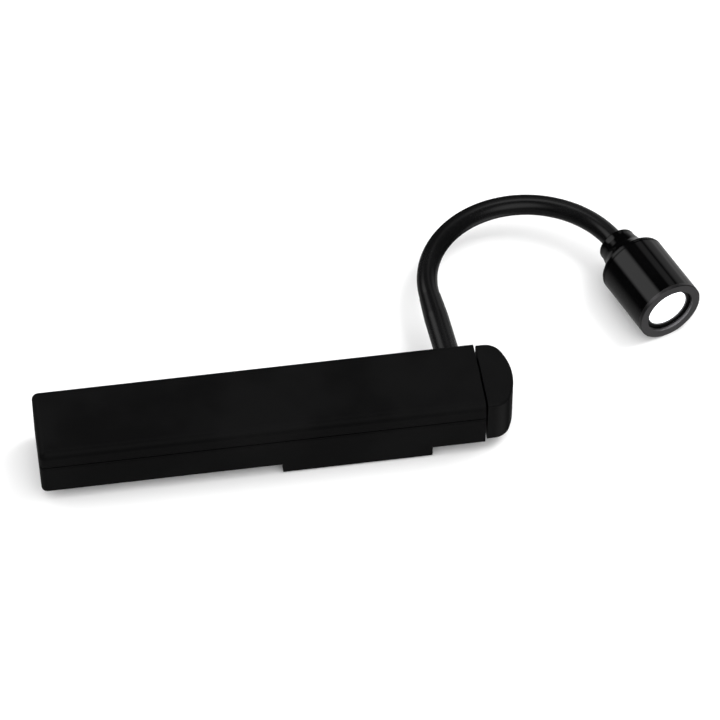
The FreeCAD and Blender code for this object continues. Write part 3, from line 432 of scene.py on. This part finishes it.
def sleeve_tree():
    group = bpy.data.node_groups.new("neck sleeve", "GeometryNodeTree")
    sockets = (("From", "NodeSocketFloat"), ("To", "NodeSocketFloat"),
               ("Straight", "NodeSocketFloat"), ("Bend radius", "NodeSocketFloat"),
               ("Sleeve radius", "NodeSocketFloat"), ("Root", "NodeSocketVector"),
               ("Forward", "NodeSocketVector"), ("Inward", "NodeSocketVector"),
               ("Rings", "NodeSocketInt"), ("Material", "NodeSocketMaterial"))
    for name, kind in sockets:
        group.interface.new_socket(name, in_out="INPUT", socket_type=kind)
    group.interface.new_socket("Geometry", in_out="OUTPUT", socket_type="NodeSocketGeometry")
    tree = Tree(group)
    entry = group.nodes.new("NodeGroupInput")
    asked = {socket.name: Value(tree, socket) for socket in entry.outputs if socket.name}
    line = tree.node("GeometryNodeCurvePrimitiveLine")
    line = tree.node("GeometryNodeResampleCurve", {"mode": "COUNT"},
                     {"Curve": line, "Count": asked["Rings"]})
    share = tree.node("GeometryNodeSplineParameter")
    length = asked["From"] + share * (asked["To"] - asked["From"])
    turn = (length - asked["Straight"]).math("MAXIMUM", 0.0) / asked["Bend radius"]
    ahead = length.math("MINIMUM", asked["Straight"]) \
        + turn.math("SINE") * asked["Bend radius"]
    aside = (1.0 - turn.math("COSINE")) * asked["Bend radius"]
    place = tree.vector("ADD", asked["Root"], scaled(tree, asked["Forward"], ahead))
    place = tree.vector("ADD", place, scaled(tree, asked["Inward"], aside))
    path = tree.node("GeometryNodeSetPosition", sockets={"Geometry": line, "Position": place})
    ring = tree.node("GeometryNodeCurvePrimitiveCircle", {"mode": "RADIUS"},
                     {"Resolution": 48, "Radius": asked["Sleeve radius"]})
    tube = tree.node("GeometryNodeCurveToMesh",
                     sockets={"Curve": path, "Profile Curve": ring, "Fill Caps": True})
    tube = tree.node("GeometryNodeRealizeInstances", sockets={0: tube})
    tube = tree.node("GeometryNodeSetMaterial",
                     sockets={"Geometry": tube, "Material": asked["Material"]})
    leave = group.nodes.new("NodeGroupOutput")
    tree.feed(leave.inputs["Geometry"], tube)
    return group


sleeve = sleeve_tree()
print("sleeve tree has", len(sleeve.nodes), "nodes")


# %% Running a tree and keeping a plain mesh
def grow(name, group, wanted):
    """Makes one piece from a geometry tree, with its inputs set by name."""
    start = bpy.data.objects.new(name + "_seed", bpy.data.meshes.new(name + "_seed"))
    scene.collection.objects.link(start)
    modifier = start.modifiers.new("tree", "NODES")
    modifier.node_group = group
    for item in group.interface.items_tree:
        if item.in_out == "INPUT" and item.name in wanted:
            modifier[item.identifier] = wanted[item.name]
    bpy.context.view_layer.update()
    ready = start.evaluated_get(bpy.context.evaluated_depsgraph_get())
    mesh = bpy.data.meshes.new_from_object(ready)
    start.modifiers.clear()
    bpy.data.objects.remove(start)
    mesh.name = name
    piece = bpy.data.objects.new(name, mesh)
    scene.collection.objects.link(piece)
    return piece


def tidy(piece, angle=40.0):
    """Merges doubles, turns faces outwards and shades smooth up to a crease angle."""
    work = bmesh.new()
    work.from_mesh(piece.data)
    bmesh.ops.remove_doubles(work, verts=work.verts, dist=1e-7)
    bmesh.ops.recalc_face_normals(work, faces=work.faces)
    work.to_mesh(piece.data)
    work.free()
    piece.data.shade_smooth()
    piece.data.set_sharp_from_angle(angle=math.radians(angle))
    return piece


# %% The six lengths of sleeve
STEP = BEND_RADIUS * BEND / SEGMENTS
INSIDE = 8.0 * MM  # how far the sleeve reaches into the case
BEND_ZONE = 4.6 * MM  # how far from a joint, each way, along the neck
RING_SPACING = 0.3 * MM
FEWEST_RINGS = 6
cuts = [-INSIDE] + [STRAIGHT + STEP * (i + 0.5) for i in range(SEGMENTS - 1)] + [NECK_END]
for i in range(SEGMENTS):
    name = "neck_skin_%d" % (i + 1)
    piece = grow(name, sleeve, {
        "From": cuts[i], "To": cuts[i + 1], "Straight": STRAIGHT, "Bend radius": BEND_RADIUS,
        "Sleeve radius": NECK_RADIUS, "Root": ROOT, "Forward": forward, "Inward": inward,
        "Rings": FEWEST_RINGS + round((cuts[i + 1] - cuts[i]) / RING_SPACING),
        "Material": neck_rubber})
    tidy(piece)
    place, way = neck_place(STRAIGHT + STEP * i)
    replaced = ["neck_sleeve_%d" % (i + 1)] + (["neck_sleeve_root"] if i == 0 else [])
    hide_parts(*replaced)
    place - way * BEND_ZONE
    place + way * BEND_ZONE
    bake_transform(piece)
    print(name, len(piece.data.polygons), "faces")

# %% [markdown]
# ## The clip's pad
#
# The pad under the case grips the page with a row of low ribs. One rib is a rounded bar, and
# Geometry Nodes repeat it along the pad, so the number of ribs follows from their spacing.

# %% Ribs on the pad
def ribs_tree():
    group = bpy.data.node_groups.new("pad ribs", "GeometryNodeTree")
    for name, kind in (("Start", "NodeSocketVector"), ("Step", "NodeSocketVector"),
                       ("Count", "NodeSocketInt"), ("Rib radius", "NodeSocketFloat"),
                       ("Rib length", "NodeSocketFloat"), ("Material", "NodeSocketMaterial")):
        group.interface.new_socket(name, in_out="INPUT", socket_type=kind)
    group.interface.new_socket("Geometry", in_out="OUTPUT", socket_type="NodeSocketGeometry")
    tree = Tree(group)
    entry = group.nodes.new("NodeGroupInput")
    asked = {socket.name: Value(tree, socket) for socket in entry.outputs if socket.name}
    row = tree.node("GeometryNodeMeshLine", {"mode": "OFFSET"},
                    {"Count": asked["Count"], "Start Location": asked["Start"],
                     "Offset": asked["Step"]})
    bar = tree.node("GeometryNodeMeshCylinder", {"fill_type": "NGON"},
                    {"Vertices": 16, "Radius": asked["Rib radius"],
                     "Depth": asked["Rib length"]})
    bar = tree.node("GeometryNodeTransform",
                    sockets={"Geometry": bar, "Rotation": (math.pi / 2, 0.0, 0.0)})
    ribs = tree.node("GeometryNodeInstanceOnPoints", sockets={"Points": row, "Instance": bar})
    ribs = tree.node("GeometryNodeRealizeInstances", sockets={0: ribs})
    ribs = tree.node("GeometryNodeSetMaterial",
                     sockets={"Geometry": ribs, "Material": asked["Material"]})
    leave = group.nodes.new("NodeGroupOutput")
    tree.feed(leave.inputs["Geometry"], ribs)
    return group


pad_low, pad_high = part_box("clip_pad")
RIB_RADIUS = 0.3 * MM
RIB_STEP = 1.0 * MM
RIB_INSET = 0.2 * MM
rib_count = int((pad_high.x - pad_low.x - RIB_STEP) / RIB_STEP) + 1
rib_start = Vector((pad_low.x + RIB_STEP / 2 + RIB_INSET, (pad_low.y + pad_high.y) / 2,
                    pad_high.z - RIB_RADIUS))
ribs = grow("pad_ribs", ribs_tree(), {
    "Start": rib_start, "Step": Vector((RIB_STEP, 0, 0)), "Count": rib_count,
    "Rib radius": RIB_RADIUS, "Rib length": pad_high.y - pad_low.y - 2 * RIB_INSET,
    "Material": pad_rubber})


# %% The pad under the ribs
def soft_block(name, low, high, edge, segments=3):
    """A block with rounded edges between two corners."""
    work = bmesh.new()
    bmesh.ops.create_cube(work, size=1.0)
    for vertex in work.verts:
        vertex.co = Vector([low[i] if vertex.co[i] < 0 else high[i] for i in range(3)])
    bmesh.ops.bevel(work, geom=list(work.edges), offset=edge, segments=segments,
                    affect="EDGES", profile=0.5)
    mesh = bpy.data.meshes.new(name)
    work.to_mesh(mesh)
    work.free()
    piece = bpy.data.objects.new(name, mesh)
    scene.collection.objects.link(piece)
    return tidy(piece)


PAD_EDGE = 0.25 * MM
pad = soft_block("pad_base", pad_low, pad_high - Vector((0, 0, RIB_RADIUS)), PAD_EDGE)
pad.data.materials.append(pad_rubber)
tidy(ribs)
for piece in (pad, ribs):
    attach(piece, "clip")
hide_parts("clip_pad")
print("pad with", rib_count, "ribs")

# %% [markdown]
# ## The clip's spring
#
# One leg of the wound spring lies on the arm and the other on the case. When the clip opens, the
# windings between them twist.

# %% The wound spring
SPRING_WIRE = 0.25 * MM
SPRING_RADIUS = 1.25 * MM
LEG_RISE = 0.25 * MM  # the arm's leg lies this far above the pin's middle
WINDINGS = 6
spring_low, spring_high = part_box("clip_spring")
pin = Vector(next(j["pos_m"] for j in frame["joints"] if j["name"] == "clip_hinge"))
first, last = spring_low.y + SPRING_WIRE, spring_high.y - SPRING_WIRE
turn_in = math.asin(LEG_RISE / SPRING_RADIUS)
turn_out = math.pi / 2 - 2 * math.pi * WINDINGS


def wound_path(count=240):
    """The arm's leg, the windings round the pin, then the case's leg, as points."""
    path = [Vector((spring_high.x, first, pin.z + LEG_RISE))]
    for i in range(count + 1):
        share = i / count
        turn = turn_in + (turn_out - turn_in) * share
        path.append(Vector((pin.x + SPRING_RADIUS * math.cos(turn),
                            first + (last - first) * share,
                            pin.z + SPRING_RADIUS * math.sin(turn))))
    path.append(Vector((spring_high.x, last, spring_high.z - SPRING_WIRE)))
    return path


def wire_piece(name, path, radius):
    """A round wire swept along a list of points, kept as a plain closed mesh."""
    line = bpy.data.curves.new(name, "CURVE")
    line.dimensions = "3D"
    line.bevel_depth = radius
    line.bevel_resolution = 3
    line.use_fill_caps = True
    spline = line.splines.new("POLY")
    spline.points.add(len(path) - 1)
    for point, place in zip(spline.points, path):
        point.co = (*place, 1.0)
    source = bpy.data.objects.new(name + "_line", line)
    scene.collection.objects.link(source)
    bpy.context.view_layer.update()
    mesh = bpy.data.meshes.new_from_object(
        source.evaluated_get(bpy.context.evaluated_depsgraph_get()))
    bpy.data.objects.remove(source)
    piece = bpy.data.objects.new(name, mesh)
    scene.collection.objects.link(piece)
    return tidy(piece)


spring = wire_piece("spring_wound", wound_path(), SPRING_WIRE)
spring.data.materials.clear()
spring.data.materials.append(spring_steel)
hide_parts("clip_spring")
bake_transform(spring)
print("spring with", WINDINGS, "windings,", len(spring.data.polygons), "faces")

# %% [markdown]
# ## Floor and light
#
# The lamp lies on a plain pale sheet. A soft key light hangs to the right, so the faint shadows
# fall to the left, and two wide fills and an even sky keep them faint. What glossy surfaces see
# is set apart from what lights the scene: the floor and the lights are hidden from reflections,
# and a sky with a few soft glows stands for the panels of a studio. That is a studio trick, not
# physics: it lets the reflections be placed one by one.

# %% Floor
FLOOR_GAP = 0.05 * MM


def make_floor():
    work = bmesh.new()
    bmesh.ops.create_grid(work, x_segments=1, y_segments=1, size=4.0)
    mesh = bpy.data.meshes.new("floor")
    work.to_mesh(mesh)
    work.free()
    sheet = bpy.data.objects.new("floor", mesh)
    scene.collection.objects.link(sheet)
    material = new_material("floor")
    shader = material.node_tree.nodes["Principled BSDF"]
    shader.inputs["Base Color"].default_value = (0.92, 0.92, 0.92, 1)
    shader.inputs["Roughness"].default_value = 1.0
    shader.inputs["Specular IOR Level"].default_value = 0.0
    mesh.materials.append(material)
    sheet.location.z = -FLOOR_GAP
    sheet.visible_glossy = False


make_floor()


# %% Lamps
def direction(turn, rise):
    """A direction, from degrees turned from the back towards the right and degrees of rise."""
    turn, rise = math.radians(turn), math.radians(rise)
    return Vector((math.sin(turn) * math.cos(rise), math.cos(turn) * math.cos(rise),
                   math.sin(rise)))


def panel(name, turn, rise, distance, size, watts):
    """A square light that faces the lamp from one direction."""
    way = direction(turn, rise)
    light = bpy.data.lights.new(name, "AREA")
    light.size = size
    light.energy = watts
    lamp = bpy.data.objects.new(name, light)
    lamp.location = way * distance
    lamp.rotation_euler = way.to_track_quat("Z", "Y").to_euler()
    lamp.visible_glossy = False
    scene.collection.objects.link(lamp)


panel("key", 75.0, 52.0, 1.2, 0.6, 7.0)
panel("fill_left", -70.0, 40.0, 1.4, 1.2, 2.0)
panel("fill_front", 175.0, 62.0, 1.4, 1.6, 9.0)


# %% What glossy surfaces see
def glow(tree, way, turn, rise, inner, outer, strength):
    """A round soft patch of light in one direction of the sky."""
    near = tree.vector("DOT_PRODUCT", way, direction(turn, rise), out=1)
    return tree.smooth(near, math.cos(math.radians(outer)), math.cos(math.radians(inner)),
                       0.0, strength)


FILL = 1.15  # the even sky that lights the scene, which neither glossy rays nor the camera see
DARK_SKY = 0.015  # what glossy rays see between the glows
GLOWS = (
    # turn, rise, inner and outer radius in degrees, then strength
    (-61.0, 37.0, 14.0, 26.0, 1.15),
    (10.0, 72.0, 8.0, 17.0, 1.1),
    (32.0, -24.0, 14.0, 33.0, 0.5),
    (130.0, -50.0, 10.0, 27.0, 0.45),
    (38.0, 12.0, 10.0, 22.0, 0.42),
    (20.0, 42.0, 3.0, 12.0, 0.3),
    (-50.0, -50.0, 14.0, 50.0, 0.28),
    (180.0, -50.0, 30.0, 70.0, 0.16),
    (172.0, 40.0, 10.0, 34.0, 0.9),
)


def make_sky():
    world = bpy.data.worlds.new("studio")
    world.use_nodes = True
    world.node_tree.nodes.clear()
    tree = Tree(world.node_tree)
    way = tree.node("ShaderNodeTexCoord", out=0)
    way = tree.node("ShaderNodeVectorMath", {"operation": "NORMALIZE"}, {0: way})
    sky = DARK_SKY
    for patch in GLOWS:
        sky = glow(tree, way, *patch) + sky
    rays = world.node_tree.nodes.new("ShaderNodeLightPath")
    glossy = Value(tree, rays.outputs["Is Glossy Ray"])
    seen = Value(tree, rays.outputs["Is Camera Ray"])
    strength = glossy * sky + (1.0 - glossy) * FILL + seen * (1.0 - FILL)
    light = tree.node("ShaderNodeBackground", sockets={"Strength": strength})
    leave = world.node_tree.nodes.new("ShaderNodeOutputWorld")
    tree.feed(leave.inputs["Surface"], light)
    scene.world = world


make_sky()
scene.view_settings.view_transform = "Standard"
print("floor, three panels and", len(GLOWS), "glows")
